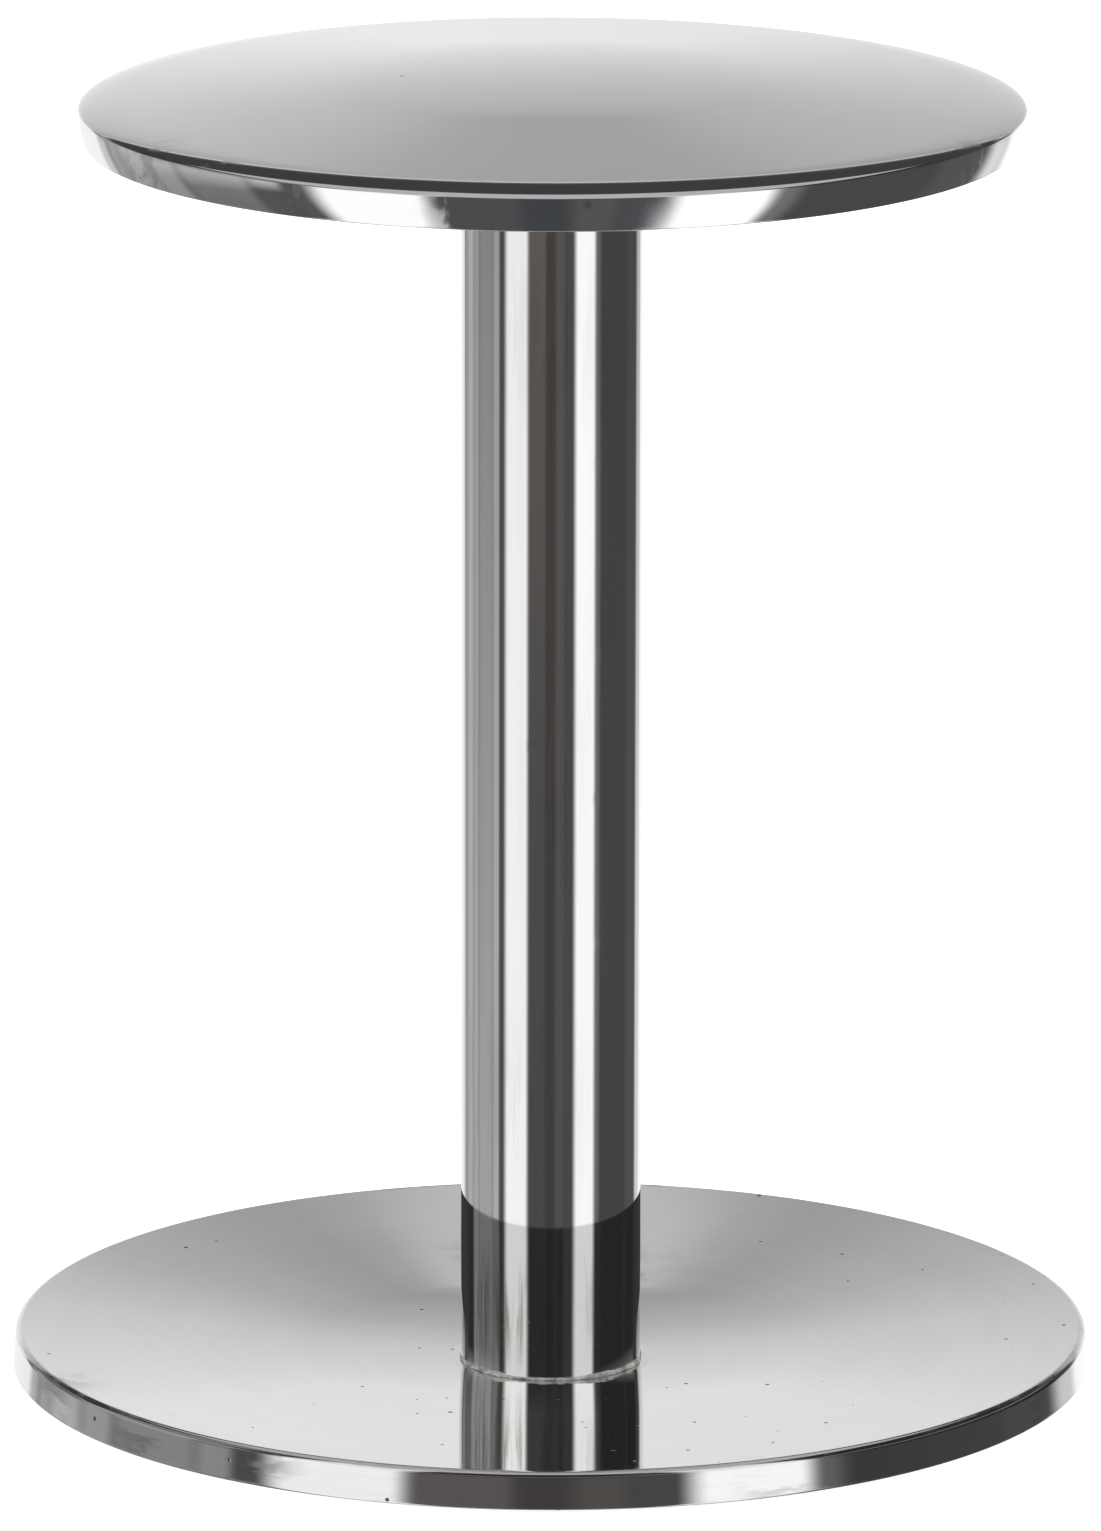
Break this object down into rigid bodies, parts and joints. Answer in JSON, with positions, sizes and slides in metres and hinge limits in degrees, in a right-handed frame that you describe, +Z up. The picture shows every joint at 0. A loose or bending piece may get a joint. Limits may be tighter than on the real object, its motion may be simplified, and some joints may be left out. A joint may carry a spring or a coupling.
{
  "type": "razor stand",
  "caption": "Pedestal razor stand: a dished round base, a plain tubular post and a crowned round top plate, all mirror-polished steel.",
  "frame": {"origin": "centre of the foot pad's flat underside, on the post's axis", "axes": "+Z up along the post, away from the counter; the stand is round, so +X and +Y are free choices"},
  "size_m": [0.096, 0.096, 0.122],
  "materials": {
    "polished_steel": "mirror polished",
    "tube_steel": "mirror polished",
    "turned_steel": "turned, left bare",
    "screw_steel": "plain stainless",
    "pad_rubber": "matte moulded",
    "sealant": "cured clear to whitish adhesive"
  },
  "bodies": {
    "root": {"base_plate": "polished_steel", "foot_pad": "pad_rubber", "base_screw": "screw_steel", "lower_plug": "turned_steel", "post_tube": "tube_steel", "upper_plug": "turned_steel", "top_stud": "screw_steel", "top_plate": "polished_steel", "foot_seal_bead": "sealant", "head_seal_bead": "sealant"}
  },
  "joints": []
}
